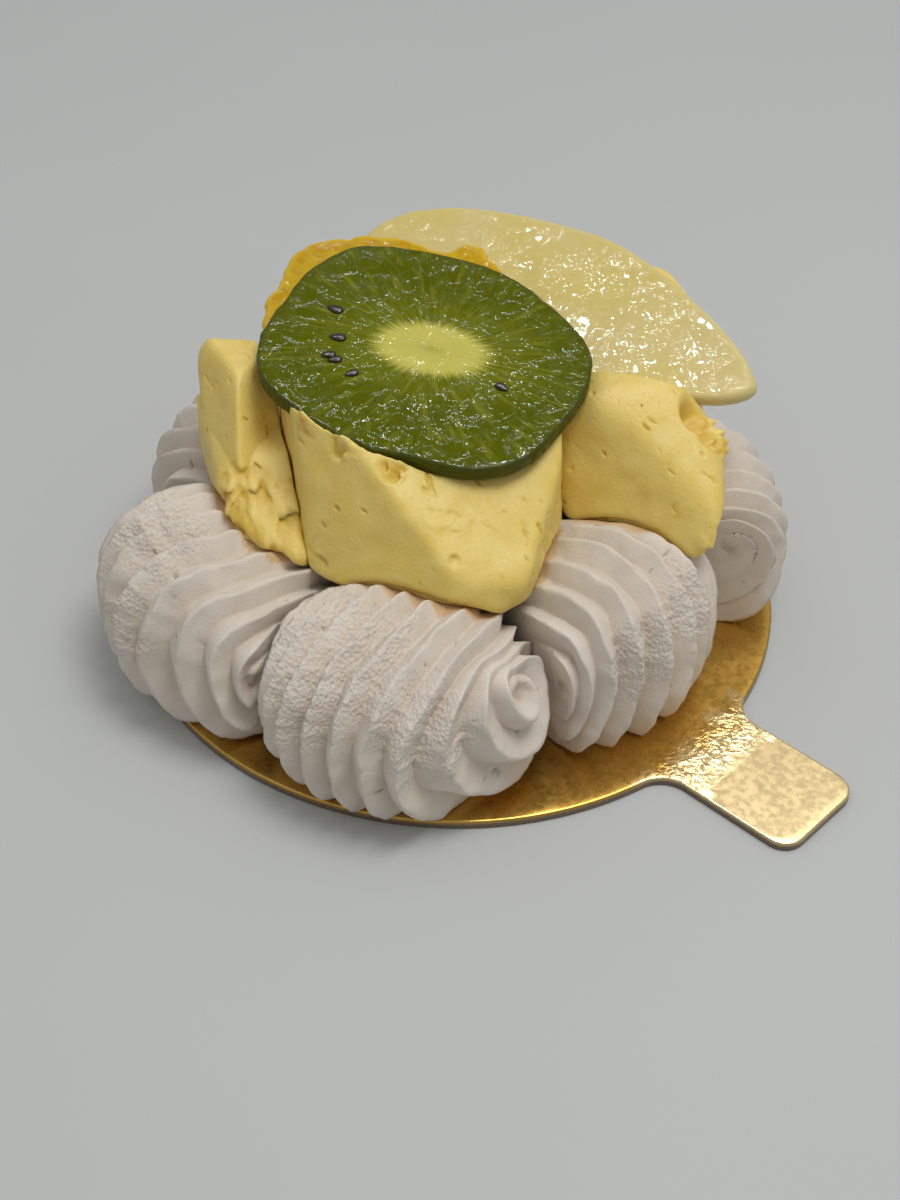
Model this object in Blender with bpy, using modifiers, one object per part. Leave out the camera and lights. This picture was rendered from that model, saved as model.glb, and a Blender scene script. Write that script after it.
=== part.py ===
"""Single-portion pavlova on its gold cake card.

Six piped meringue petals stand in a ring on a round card with a pull tab. Quenelles of mango cream
lie on them, and a piece of mango, a pale slice and a slice of kiwi lie on the cream.

Units are metres and +Z is up. The origin is the centre of the card's disc on its underside, and the
tab points along +X. The pieces are laid out in a serving frame whose front faces -Y, and the empty
"serving" then turns the whole cake so that the tab lies along +X.
"""

import math

import bmesh
import bpy
from mathutils import Matrix, Vector

MM = 0.001
GAP = 0.3 * MM  # left between pieces that touch

# Card
CARD_RADIUS = 45.0 * MM
CARD_THICKNESS = 1.4 * MM
TAB_AZIMUTH = math.radians(-42.35)  # in the serving frame
TAB_REACH = 64.6 * MM  # tab's end from the card's centre
TAB_HALF_WIDTH = 7.6 * MM
TAB_CORNER = 3.0 * MM
TAB_FILLET = 4.5 * MM

# Ring of petals
RING_CENTRE = Vector((-3.0, -3.0)) * MM
PETAL_BASE = CARD_THICKNESS + GAP
PETAL_FULLNESS = 2.4  # 2 is an ellipsoid, more is plumper
TAIL_WIDTH = 0.35  # of the petal's width, at the tail's end
TAIL_DROP = 0.35  # of the petal's height
RIDGE_DEPTH = 1.1 * MM  # crest above, and valley below, the mean surface
RIDGE_STEPS = 18  # mesh steps in a turn of a ridge
SQUASH = 0.03  # slope left where a petal presses on a neighbour or the card

# name: (azimuth, hub radius, outward reach, tail, left and right half width, top height, ridges,
#        yaw of the body, yaw and roll of the ridges, share by which the front narrows towards the
#        right end, or towards the left one where it is below 0); mm and degrees
PETALS = {
    "meringue_front": (-96, 29.5, 15.5, 23, 17.6, 17.6, 22.5, 15, -10, -20, 0, 0.42),
    "meringue_right": (-33, 29.0, 11.4, 23, 16.8, 14.2, 22.5, 12, 5, -14, -8, -0.35),
    "meringue_right_back": (10, 36.0, 12.3, 27, 15.5, 17.0, 20.3, 11, 0, 0, 0, 0),
    "meringue_back": (82, 29.0, 14.0, 23, 18.0, 18.0, 22.0, 14, 0, 0, 0, 0),
    "meringue_left_back": (143, 29.0, 14.0, 23, 16.5, 16.5, 21.0, 13, 0, 0, 0, 0),
    "meringue_left": (-157, 32.0, 13.2, 25, 17.0, 19.6, 22.0, 12, 0, 0, 0, 0.38),
}
HUB_HEIGHT = 9.8 * MM  # of the roll axis above the petal's base
# azimuths of the seams between neighbouring petals, from the front petal's left seam round
SEAMS = {
    "meringue_front": (-130, -57),
    "meringue_right": (-57, -5),
    "meringue_right_back": (-5, 42),
    "meringue_back": (42, 114),
    "meringue_left_back": (114, 173),
    "meringue_left": (173, 230),
}
# The left petal swells past its seam with the front one, up to an upright plane: its azimuth, and
# how far it passes from the ring's centre.
SWELL = (-110, -10.4 * MM)
SWELL_GAP = 0.4 * MM  # room left between the two there

# Cream: each quenelle is a rounded block round its centre; its faces are (azimuth, elevation,
# distance from the centre), degrees and mm. A second set of faces is its torn foot.
CREAM_POWERS = {"cream_right": 9, "cream_front": 24}  # higher gives sharper edges
CREAM_POWER = 14  # of the other quenelles
CREAM_RINGS = 3  # subdivisions of its sphere
CREAM = {
    "cream_front": (
        (-3.0, -13.0, 28.0),
        ((-121, 23, 10.5), (-65, 58, 7.8), (-80, 15, 14.9), (-18, 4, 15.6), (0, 90, 15.0),
         (-50, -20, 18.4), (0, -90, 7.0)),
    ),
    "cream_right": (
        (24.0, -4.0, 28.0),
        ((-121, 22, 5.6), (-88, 55, 7.6), (0, 90, 10.7), (-5, 5, 11.8), (10, 42, 11.0),
         (170, 50, 11.4), (-25, -40, 13.3), (0, -90, 7.5)),
    ),
    "cream_left": (
        (-27.0, 2.0, 29.0),
        ((-151, 25, 6.2), (-32, 32, 4.0), (-175, -10, 7.2), (-88, 41, 8.4), (0, 90, 8.8),
         (90, 0, 7.8), (-150, -35, 11.0), (0, -90, 8.0)),
        ((-88, 64, 4.1), (-150, 45, 5.0), (0, 90, 0.8), (-88, 0, 21.5), (-140, 0, 12.3),
         (-165, 0, 7.2), (90, 0, 5.0), (0, -90, 8.0)),
    ),
    "cream_back_right": (
        (21.0, 17.0, 28.0),
        ((-10, 5, 13.4), (80, 5, 9.5), (30, 10, 12.0), (0, 90, 13.0), (0, -90, 7.0)),
    ),
    "cream_back_left": (
        (-9.0, 16.0, 27.0),
        ((90, 5, 11.0), (0, 90, 12.0), (150, 20, 14.0), (0, -90, 6.0)),
    ),
}
# Upright planes where two quenelles meet: (first, second, azimuth from first to second, distance
# of the plane along it)
CREAM_SEAMS = (
    ("cream_left", "cream_front", 13, -22.9),
    ("cream_front", "cream_right", 10, 12.3),
    ("cream_front", "cream_back_left", 90, 3.0),
    ("cream_left", "cream_back_left", 10, -18.8),
    ("cream_back_left", "cream_back_right", 0, 8.0),
    ("cream_right", "cream_back_right", 60, 17.0),
)

# Fruit. A slab's frame is (centre of its top face, slope along X, slope along Y).
KIWI_FRAME = ((-4.5, 2.0, 40.2), 0.0, 0.15)
KIWI_RADIUS = 21.3
KIWI_LOBES = ((2, 1.8, -42), (4, 0.6, 20), (6, 0.5, 0))  # (waves, height in mm, azimuth)
KIWI_FRONT = 2.2  # taken off the front of the round
KIWI_THICKNESS = 2.6
SLICE_FRAME = ((13.0, 17.6, 37.7), 0.14, 0.30)
SLICE_AZIMUTH = -32.4
SLICE_HALF_LENGTH = 31.0
SLICE_HALF_WIDTHS = (14.2, 8.6)  # outer side, inner side
SLICE_ROUND = 2.0  # power of the outline; 2 is an ellipse, and less is straighter
SLICE_STRAIGHTER = 0.62  # taken off the power on the outer side, towards the card's tab side
SLICE_THICKNESS = 2.3
MANGO_FRAME = ((-10.0, 18.0, 39.6), 0.0, 0.15)
MANGO_THICKNESS = 8.0
MANGO_OUTLINE = (
    (-17.0, -6.5), (-17.0, -2.5), (-15.3, 0.8), (-14.2, 6.3), (-11.0, 10.2), (-7.5, 11.5),
    (-1.0, 12.0), (3.0, 11.6), (5.8, 9.7), (8.7, 8.6), (11.4, 10.6), (13.6, 10.2),
    (14.4, 7.4), (16.7, 3.5), (15.0, -6.0), (6.0, -11.0), (-6.0, -12.0), (-15.0, -10.0),
)
CUT_REACH = 20 * MM  # how far the cutters reach past the pieces that they cut


def collection(name):
    """New collection linked to the scene."""
    group = bpy.data.collections.new(name)
    bpy.context.scene.collection.children.link(group)
    return group


def material(name, colour, roughness, metallic=0.0):
    """Principled material with one colour."""
    made = bpy.data.materials.new(name)
    made.use_nodes = True
    shader = made.node_tree.nodes["Principled BSDF"]
    shader.inputs["Base Color"].default_value = (*colour, 1.0)
    shader.inputs["Roughness"].default_value = roughness
    shader.inputs["Metallic"].default_value = metallic
    made.diffuse_color = (*colour, 1.0)
    return made


def add_mesh(name, verts, faces, parent, group, look):
    """Mesh object from points and faces."""
    mesh = bpy.data.meshes.new(name)
    mesh.from_pydata(verts, [], faces)
    mesh.update()
    return add_object(name, mesh, parent, group, look)


def add_object(name, data, parent, group, look):
    """Object under the serving empty."""
    made = bpy.data.objects.new(name, data)
    data.materials.append(look)
    group.objects.link(made)
    made.parent = parent
    return made


# ---------------------------------------------------------------------------------------- petals


def smooth(value, low, high):
    """Soft step from 0 at low to 1 at high."""
    t = min(max((value - low) / (high - low), 0.0), 1.0)
    return t * t * (3 - 2 * t)


def front_share(spec, v):
    """Share of a petal's outward reach at v, its place from the left end (-1) to the right (1)."""
    side = 1 if spec[11] > 0 else -1
    return 1 - abs(spec[11]) * smooth(side * v, 0.15, 1.0)


def petal_body(spec, direction):
    """Point of a petal's smooth body in its own frame: +X outward, +Z up, hub at the origin."""
    _, _, reach, tail, left, right, top = spec[:7]
    power = PETAL_FULLNESS
    swell = sum(abs(c) ** power for c in direction) ** (-1.0 / power)
    u, v, w = (c * swell for c in direction)
    front = reach * front_share(spec, v)
    x = u * (front if u > 0 else tail) * MM
    y = v * (right if v > 0 else left) * MM
    above = top * MM - HUB_HEIGHT
    below = HUB_HEIGHT + 2.5 * MM  # reaches under the card's face, and is flattened there
    z = w * (above if w > 0 else below)
    fade = smooth(-x / (tail * MM), 0.0, 1.0)
    return Vector((x, y * (1 - (1 - TAIL_WIDTH) * fade), z * (1 - TAIL_DROP * fade)))


def ridge_direction(spec, along, turn):
    """Direction at along (0 to 1, pole to pole) and turn (radians) of the ridges' roll axis."""
    latitude = math.pi * (along - 0.5)
    ring = math.cos(latitude)
    flat = Vector((ring * math.cos(turn), math.sin(latitude), ring * math.sin(turn)))
    yaw, roll = (math.radians(v) for v in spec[9:11])
    return Matrix.Rotation(yaw, 3, "Z") @ Matrix.Rotation(roll, 3, "X") @ flat


def petal_point(spec, along, turn, lift):
    """Point at the given ridge coordinates, moved out from the smooth body by lift."""
    step = 1e-3
    along = min(max(along, 0.0), 1.0)
    here = petal_body(spec, ridge_direction(spec, along, turn))
    if along in (0.0, 1.0):
        return here + here.normalized() * lift
    ahead = petal_body(spec, ridge_direction(spec, along + step, turn))
    aside = petal_body(spec, ridge_direction(spec, along, turn + step))
    normal = (ahead - here).cross(aside - here).normalized()
    if normal.dot(here) < 0:
        normal.negate()
    return here + normal * lift


def place_petal(spec, point):
    """Moves a point of the petal's own frame to its place in the ring."""
    azimuth, hub = math.radians(spec[0]), spec[1] * MM
    point = Matrix.Rotation(math.radians(spec[8]), 3, "Z") @ point + Vector((hub, 0, 0))
    point = Matrix.Rotation(azimuth, 3, "Z") @ point
    return point + Vector((*RING_CENTRE, PETAL_BASE + HUB_HEIGHT))


def plane_gap(point, azimuth, offset=0.0):
    """Direction across an upright plane of the ring, and how far a point lies past it that way."""
    angle = math.radians(azimuth)
    across = Vector((-math.sin(angle), math.cos(angle), 0))
    return across, (point - Vector((*RING_CENTRE, 0))).dot(across) - offset


def press(name, point):
    """Flattens a point that lies past a seam with a neighbour or under the card's face."""
    swell = plane_gap(point, *SWELL)[1]
    for azimuth, side in zip(SEAMS[name], (-1, 1)):
        across, past = plane_gap(point, azimuth)
        past = side * past
        if name == "meringue_left" and side > 0:
            past = min(past, swell + SWELL_GAP)
        if name == "meringue_front" and side < 0:
            past = max(past, -swell)
        past += GAP / 2
        if past > 0:
            point = point - side * across * past * (1 - SQUASH)
    if point.z < PETAL_BASE:
        point.z = PETAL_BASE
    return point


def build_petal(name, spec):
    """Crest and valley are two helices round the roll axis, from pole to pole, a strip apart."""
    ridges, steps = spec[7], RIDGE_STEPS
    turns = ridges * steps
    verts, faces = [], []

    def put(along, turn, lift):
        taper = min(1.0, 2.2 * math.sin(math.pi * min(max(along, 0.0), 1.0)))
        point = petal_point(spec, along, turn, lift * taper)
        verts.append(press(name, place_petal(spec, point)))
        return len(verts) - 1

    start = put(0.0, 0.0, 0.0)
    crest, valley = [], []
    first = steps // 2
    last = turns - steps // 2
    for k in range(first, last):
        turn = -2 * math.pi * k / steps
        crest.append(put(k / turns, turn, RIDGE_DEPTH))
        valley.append(put((k + steps / 2) / turns, turn, -RIDGE_DEPTH))
    end = put(1.0, 0.0, 0.0)

    count = last - first
    for k in range(count - 1):
        faces.append((crest[k], valley[k], valley[k + 1], crest[k + 1]))
        if k + 1 + steps < count:
            faces.append((valley[k], crest[k + steps], crest[k + 1 + steps], valley[k + 1]))
    # the strip's two ends are closed by fans from the poles
    edge = crest[: steps + 1] + [valley[0]]
    faces += [(start, edge[i], edge[(i + 1) % len(edge)]) for i in range(len(edge))]
    edge = valley[count - steps - 1 :] + [crest[-1]]
    faces += [(end, edge[(i + 1) % len(edge)], edge[i]) for i in range(len(edge))]
    return verts, [face[::-1] for face in faces]


# ----------------------------------------------------------------------------------------- card


def card_outline():
    """Disc with a rounded tab along its azimuth, counterclockwise."""
    half, fillet = TAB_HALF_WIDTH, TAB_FILLET
    # the fillet's centre is a fillet's radius off the tab's side and off the disc
    across = half + fillet
    along = math.sqrt((CARD_RADIUS + fillet) ** 2 - across**2)
    join = math.atan2(across, along)
    points = []

    def arc(centre, radius, start, stop, steps):
        for i in range(steps + 1):
            angle = start + (stop - start) * i / steps
            around = Vector((math.cos(angle), math.sin(angle)))
            points.append(Vector(centre) + radius * around)

    arc((0, 0), CARD_RADIUS, join, 2 * math.pi - join, 56)
    arc((along, -across), fillet, math.pi - join, math.pi / 2, 5)
    end = TAB_REACH - TAB_CORNER
    arc((end, -half + TAB_CORNER), TAB_CORNER, -math.pi / 2, 0, 4)
    arc((end, half - TAB_CORNER), TAB_CORNER, 0, math.pi / 2, 4)
    arc((along, across), fillet, -math.pi / 2, -math.pi + join, 5)
    turn = Matrix.Rotation(TAB_AZIMUTH, 2)
    return [turn @ point for point in points]


def slab_curve(name, outline, thickness, edge, segments, parent, group, look):
    """Flat slab from a closed outline, centred on its frame, with softened edges."""
    data = bpy.data.curves.new(name, "CURVE")
    data.dimensions = "2D"
    data.fill_mode = "BOTH"
    data.extrude = thickness / 2
    spline = data.splines.new("POLY")
    spline.points.add(len(outline) - 1)
    for point, (x, y) in zip(spline.points, outline):
        point.co = (x, y, 0, 1)
    spline.use_cyclic_u = True
    made = add_object(name, data, parent, group, look)
    weld = made.modifiers.new("weld", "WELD")
    weld.merge_threshold = 0.00001
    bevel = made.modifiers.new("edge", "BEVEL")
    bevel.width = edge
    bevel.segments = segments
    bevel.limit_method = "ANGLE"
    bevel.angle_limit = math.radians(50)
    return made


def slab_matrix(spec, drop):
    """Frame of a tilted slab, its origin drop below the centre of the top face."""
    centre, slope_x, slope_y = spec
    normal = Vector((-slope_x, -slope_y, 1.0)).normalized()
    side = Vector((1, 0, slope_x)).normalized()
    ahead = normal.cross(side)
    turn = Matrix((side, ahead, normal)).transposed().to_4x4()
    return Matrix.Translation(Vector(centre) * MM - normal * drop) @ turn


def kiwi_outline(grow=0.0, steps=36):
    """Round outline with a few low lobes."""
    points = []
    for i in range(steps):
        angle = 2 * math.pi * i / steps
        radius = KIWI_RADIUS + grow
        for waves, height, azimuth in KIWI_LOBES:
            radius += height * math.cos(waves * (angle - math.radians(azimuth)))
        radius -= KIWI_FRONT * max(0.0, -math.sin(angle)) ** 2
        points.append(Vector((math.cos(angle), math.sin(angle))) * radius * MM)
    return points


def slice_outline(grow=0.0, steps=36):
    """Long half-round outline on one long axis, straighter over the card's tab side."""
    turn = Matrix.Rotation(math.radians(SLICE_AZIMUTH), 2)
    outer, inner = SLICE_HALF_WIDTHS
    points = []
    for i in range(steps):
        angle = 2 * math.pi * i / steps
        c, t = math.cos(angle), math.sin(angle)
        power = SLICE_ROUND - (SLICE_STRAIGHTER * smooth(c, -0.9, 0.5) if t > 0 else 0.0)
        swell = (abs(c) ** power + abs(t) ** power) ** (-1.0 / power)
        width = (outer if t > 0 else inner) + grow
        point = Vector(((SLICE_HALF_LENGTH + grow) * c, width * t)) * swell
        points.append(turn @ point * MM)
    return points


def mango_outline(grow=0.0):
    """Torn outline, moved out from its middle by grow."""
    points = []
    for x, y in MANGO_OUTLINE:
        point = Vector((x, y))
        points.append((point + point.normalized() * grow) * MM)
    return points


def prism(name, outline, low, high):
    """Closed mesh: the outline run from low to high along Z."""
    grid = bmesh.new()
    face = grid.faces.new([grid.verts.new((x, y, low)) for x, y in outline])
    walls = bmesh.ops.extrude_face_region(grid, geom=[face], use_keep_orig=True)
    tops = [item for item in walls["geom"] if isinstance(item, bmesh.types.BMVert)]
    bmesh.ops.translate(grid, verts=tops, vec=(0, 0, high - low))
    bmesh.ops.recalc_face_normals(grid, faces=grid.faces)
    return finish_mesh(name, grid)


def finish_mesh(name, grid):
    """Mesh from an edit mesh, which is freed."""
    mesh = bpy.data.meshes.new(name)
    grid.to_mesh(mesh)
    grid.free()
    return mesh


def add_cutter(name, mesh, matrix, parent, group):
    """Object that only cuts others, and isn't part of the cake."""
    made = bpy.data.objects.new(name, mesh)
    group.objects.link(made)
    made.parent = parent
    made.matrix_basis = matrix
    made.hide_render = True
    made.display_type = "WIRE"


def cut(piece, cutters):
    """Exact difference with a whole collection of cutters."""
    step = piece.modifiers.new("cut", "BOOLEAN")
    step.operation = "DIFFERENCE"
    step.solver = "EXACT"
    step.operand_type = "COLLECTION"
    step.collection = cutters


# ---------------------------------------------------------------------------------------- cream


def block_radius(faces, power, direction):
    """Distance from the centre to the surface of one rounded block."""
    total = 0.0
    for azimuth, elevation, distance in faces:
        a, e = math.radians(azimuth), math.radians(elevation)
        normal = Vector((math.cos(e) * math.cos(a), math.cos(e) * math.sin(a), math.sin(e)))
        total += max(0.0, normal.dot(direction) / (distance * MM)) ** power
    return total ** (-1.0 / power)


def seam_faces(name, centre):
    """Faces of one quenelle towards the neighbours that it meets."""
    faces = []
    for first, second, azimuth, distance in CREAM_SEAMS:
        if name not in (first, second):
            continue
        angle = math.radians(azimuth)
        room = distance - centre[0] * math.cos(angle) - centre[1] * math.sin(angle)
        side = 1 if name == first else -1
        faces.append((azimuth if side > 0 else azimuth + 180, 0, side * room - GAP / MM / 2))
    return faces


def build_cream(name, spec, parent, group, look):
    """Sphere whose points are moved out to the block's surface."""
    centre, *blocks = spec
    seams = seam_faces(name, centre)
    power = CREAM_POWERS.get(name, CREAM_POWER)
    grid = bmesh.new()
    bmesh.ops.create_icosphere(grid, subdivisions=CREAM_RINGS, radius=1.0)
    for vert in grid.verts:
        direction = vert.co.normalized()
        radii = [block_radius([*faces, *seams], power, direction) for faces in blocks]
        vert.co = direction * max(radii)
    made = add_object(name, finish_mesh(name, grid), parent, group, look)
    made.location = Vector(centre) * MM
    return made


def petal_cutter(name, spec, parent, group):
    """Smooth closed shape just over a petal's crests."""
    rings, steps = 12, 18
    lift = RIDGE_DEPTH + 2 * GAP
    grid = bmesh.new()
    rows = []
    for i in range(1, rings):
        row = []
        for k in range(steps):
            point = petal_point(spec, i / rings, 2 * math.pi * k / steps, lift)
            row.append(grid.verts.new(place_petal(spec, point)))
        rows.append(row)
    for low, high in zip(rows, rows[1:]):
        for k in range(steps):
            grid.faces.new((low[k], low[(k + 1) % steps], high[(k + 1) % steps], high[k]))
    for row, end in ((rows[0], 0.0), (rows[-1], 1.0)):
        tip = grid.verts.new(place_petal(spec, petal_point(spec, end, 0.0, lift)))
        for k in range(steps):
            grid.faces.new((row[k], row[(k + 1) % steps], tip))
    bmesh.ops.recalc_face_normals(grid, faces=grid.faces)
    add_cutter(name, finish_mesh(name, grid), Matrix(), parent, group)


# --------------------------------------------------------------------------------------- assembly


def main():
    for item in list(bpy.data.objects):
        bpy.data.objects.remove(item, do_unlink=True)
    group = collection("pavlova")
    cream_cutters = collection("cream cutters")
    mango_cutters = collection("mango cutters")
    serving = bpy.data.objects.new("serving", None)
    serving.rotation_euler.z = -TAB_AZIMUTH
    group.objects.link(serving)

    gold = material("gold card", (0.72, 0.52, 0.24), 0.32, 1.0)
    meringue = material("meringue", (0.78, 0.74, 0.66), 0.85)
    cream = material("mango cream", (0.80, 0.62, 0.16), 0.6)
    green = material("kiwi", (0.16, 0.24, 0.02), 0.2)
    pale = material("pale slice", (0.78, 0.66, 0.30), 0.2)
    orange = material("mango", (0.75, 0.42, 0.03), 0.25)

    outline = card_outline()
    board = slab_curve("card", outline, CARD_THICKNESS, 0.25 * MM, 1, serving, group, gold)
    board.location.z = CARD_THICKNESS / 2

    for name, spec in PETALS.items():
        verts, faces = build_petal(name, spec)
        add_mesh(name, verts, faces, serving, group, meringue)
        petal_cutter("over_" + name, spec, serving, cream_cutters)

    for name, outline, spec, thickness, look in (
        ("kiwi_slice", kiwi_outline(), KIWI_FRAME, KIWI_THICKNESS * MM, green),
        ("pale_slice", slice_outline(), SLICE_FRAME, SLICE_THICKNESS * MM, pale),
    ):
        slab = slab_curve(name, outline, thickness, 0.5 * MM, 2, serving, group, look)
        slab.matrix_basis = slab_matrix(spec, thickness / 2)

    high = MANGO_THICKNESS * MM
    mesh = prism("mango_piece", mango_outline(), 0.0, high)
    mango = add_object("mango_piece", mesh, serving, group, orange)
    mango.matrix_basis = slab_matrix(MANGO_FRAME, high)
    mesh = prism("under_slice", slice_outline(0.3), -CUT_REACH, 0.0)
    add_cutter("under_slice", mesh, slab_matrix(SLICE_FRAME, -GAP), serving, mango_cutters)
    cut(mango, mango_cutters)

    for name, outline, spec, thickness in (
        ("over_kiwi", kiwi_outline(0.3), KIWI_FRAME, KIWI_THICKNESS * MM),
        ("over_slice", slice_outline(0.3), SLICE_FRAME, SLICE_THICKNESS * MM),
        ("over_mango", mango_outline(0.3), MANGO_FRAME, MANGO_THICKNESS * MM),
    ):
        mesh = prism(name, outline, 0.0, CUT_REACH)
        add_cutter(name, mesh, slab_matrix(spec, thickness + GAP), serving, cream_cutters)

    for name, spec in CREAM.items():
        piece = build_cream(name, spec, serving, group, cream)
        cut(piece, cream_cutters)


main()
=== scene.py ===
"""Looks of the single-portion pavlova: meringue, cream, fruit and card, with light and camera.

The cake is laid out in millimetres in a serving frame whose front faces -Y, as in the CAD, and is
then turned about +Z so that the card's tab lies along +X.
"""

import itertools
import math
from collections import namedtuple

import bmesh
import bpy
import numpy as np
from mathutils import Matrix, Vector


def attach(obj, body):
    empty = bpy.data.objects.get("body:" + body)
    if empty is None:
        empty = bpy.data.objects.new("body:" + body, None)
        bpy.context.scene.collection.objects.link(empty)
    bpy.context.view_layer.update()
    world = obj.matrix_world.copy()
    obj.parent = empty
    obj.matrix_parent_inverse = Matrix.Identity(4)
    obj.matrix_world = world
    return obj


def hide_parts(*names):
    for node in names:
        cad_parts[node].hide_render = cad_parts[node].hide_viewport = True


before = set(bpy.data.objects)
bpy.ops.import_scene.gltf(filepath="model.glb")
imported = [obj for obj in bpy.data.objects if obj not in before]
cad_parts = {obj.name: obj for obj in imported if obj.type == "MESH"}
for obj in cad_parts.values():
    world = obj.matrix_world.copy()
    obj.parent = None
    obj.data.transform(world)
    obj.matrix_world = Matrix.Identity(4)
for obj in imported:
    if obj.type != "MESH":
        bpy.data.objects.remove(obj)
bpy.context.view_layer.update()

MM = 0.001
SERVING_TURN = Matrix.Rotation(math.radians(42.35), 4, "Z")  # serving frame to row frame

# Card, mm
CARD_RADIUS = 45.0
CARD_THICKNESS = 1.4
TAB_REACH = 64.6
TAB_HALF_WIDTH = 7.6
TAB_CORNER = 3.0
TAB_FILLET = 4.5
CREASE_X = 46.5  # of the creases at the tab's root
CREASE_DEPTH = 0.10
TAB_SHEEN_X = (42.0, 47.0)  # between which the foil turns paler, a painted reflection of bright light on the tab

# Petals, mm and degrees. A petal's hub lies at a distance from the ring's centre. From there it
# reaches outward, inward by its tail, and to the left and right. top is its height, ridges their
# number from end to end. yaw turns its body, ridge_yaw and ridge_roll the axis that they wind round.
# narrowing is the share by which its front narrows towards the right end, or towards the left one
# where it is below 0.
Petal = namedtuple(
    "Petal", "azimuth hub reach tail left right top ridges yaw ridge_yaw ridge_roll narrowing"
)
PETALS = {
    "meringue_front": Petal(-96, 29.5, 15.5, 23, 17.6, 17.6, 22.5, 15, -10, -20, 0, 0.42),
    "meringue_right": Petal(-33, 29.0, 11.4, 23, 17.6, 14.2, 22.5, 12, 5, -14, -8, -0.35),
    "meringue_right_back": Petal(10, 36.0, 12.3, 27, 15.5, 17.0, 20.3, 11, 0, 0, 0, 0),
    "meringue_back": Petal(82, 29.0, 14.0, 23, 18.0, 18.0, 22.0, 14, 0, 0, 0, 0),
    "meringue_left_back": Petal(143, 29.0, 14.0, 23, 16.5, 16.5, 21.0, 13, 0, 0, 0, 0),
    "meringue_left": Petal(-157, 32.0, 13.2, 25, 17.0, 19.6, 22.0, 12, 0, 0, 0, 0.38),
}
RING_CENTRE = np.array((-3.0, -3.0, 0.0))
PETAL_BASE = 1.7
HUB_HEIGHT = 9.8  # of a petal's widest part over its base
BELOW_BASE = 2.5  # reach of a petal's round below its base, before the card flattens it
PETAL_FULLNESS = 2.4  # 2 is an ellipsoid, and higher is boxier
TAIL_WIDTH = 0.35  # share of its width that a petal keeps at the tip of its tail
TAIL_DROP = 0.35  # share of its height that it loses there
NARROW_FROM = 0.15  # share of the way to an end at which the front begins to narrow
# azimuths of the upright planes at each petal's left and right where it meets its neighbours; the
# right petal runs a little into the front one, whose end is narrow there
SEAMS = {
    "meringue_front": (-130, -57),
    "meringue_right": (-61, -5),
    "meringue_right_back": (-5, 42),
    "meringue_back": (42, 114),
    "meringue_left_back": (114, 173),
    "meringue_left": (173, 230),
}
# the left petal swells past its seam with the front one, up to a plane: azimuth, and how far it
# passes from the ring's centre
SWELL = (-110, -10.4)
SWELL_OVERLAP = 0.3  # of the left petal into the front one at that plane
SEAM_SOFTNESS = 0.5
CARD_GAP = 0.05  # between a petal's flattened foot and the card
FOOT_SOFTNESS = 0.25
# further (yaw, roll) of the ridges towards each petal's left and right end, where the roll curls,
# and the share of the way to an end at which that begins
BENDS = {
    "meringue_front": ((0, 0), (12, 30), 0.28),
    "meringue_right": ((12, -4), (-10, 0), 0.0),
    "meringue_right_back": ((10, -20), (0, 0), 0.0),
    "meringue_left": ((0, 0), (0, 10), 0.0),
}
NO_BEND = ((0, 0), (0, 0), 0.0)
# share by which the ridges are wider apart towards the right end, and closer towards the left one
LOOSENESS = {"meringue_front": 0.3, "meringue_left": 0.15, "meringue_right": -0.15}
# patches of sugar crackle: centre in the serving frame, and radius
CRACKLE = {
    "meringue_front": ((-15, -36, 19, 12), (-4, -43, 17, 8)),
    "meringue_left": ((-38, -14, 20, 9), (-40, -22, 14, 6)),
    "meringue_right": ((24, -30, 17, 6), (31, -22, 20, 6)),
}
RIDGE_DEPTH = 1.35
RIDGE_ROUNDNESS = 0.07  # share of a ridge's profile that is round, where the rest is straight
CROWDED, ROOMY = 0.3, 3.2  # widths of a ridge at which it is flat, and as deep as it gets
PRESSED, FREE = -3.0, 2.5  # distances from the cream at which that holds too
HOLE_DEPTH = 0.5
POLE_DIMPLE = 1.1  # depth and radius of the hollow at a pole, where a ridge starts
POLE_REACH = 2.2
POLE_START = 5e-4  # share of the way between the poles at which a ridge starts
POLE_JOIN = 0.03  # distance within which points are joined there
FINE = (300, 14)  # steps in a turn of a ridge, and across it
COARSE = (200, 10)
COARSE_PETALS = ("meringue_back", "meringue_left_back")  # what hardly shows from the front
PROBE = 2e-3  # step along a petal's surface for its normal
TINY = 1e-12  # keeps a vector of no length from being divided by 0

# Cream, mm and degrees
CREAM_LIFT = 0.5  # of a quenelle's foot over the petals' smooth tops, just under their crests
CREAM_SINK = 0.2  # of what is lower into that height
FOOT_RADIUS = 1.6
CREAM_POWERS = {"cream_right": 9, "cream_front": 24}  # higher gives sharper edges
USUAL_POWER = 14
CREAM_FINE, CREAM_COARSE = 7, 5  # subdivisions of the ball that a quenelle is made of
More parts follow.
